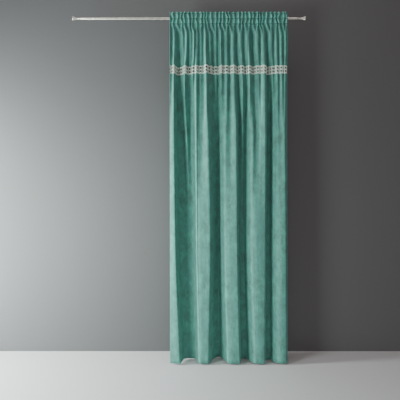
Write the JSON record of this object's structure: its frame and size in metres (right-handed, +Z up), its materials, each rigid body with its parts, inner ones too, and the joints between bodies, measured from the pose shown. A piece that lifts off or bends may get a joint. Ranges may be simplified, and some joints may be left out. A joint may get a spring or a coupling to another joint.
{
  "type": "curtain with rod",
  "caption": "Long velvet curtain with a gathered pencil-pleat heading and an openwork lace band, hanging in soft folds from a round metal rod with flared finials.",
  "frame": {"origin": "On the rod's axis, at the middle of the rod's length", "axes": "+Z up along the drop of the curtain, +X to the right along the rod seen from the room, front of the cloth facing -Y"},
  "size_m": [1.8086, 0.1283, 2.7],
  "materials": {
    "velvet": "short-pile velvet, sea green, cloudy where the pile is brushed",
    "tape": "woven gathering tape, off-white",
    "lace": "thick embroidered cotton lace, off-white",
    "rod_metal": "satin, warm silver"
  },
  "bodies": {
    "root": {"panel": "velvet", "heading_tape": "tape", "lace_band": "lace", "rod": "rod_metal", "finial_right": "rod_metal", "finial_left": "rod_metal"}
  },
  "joints": []
}
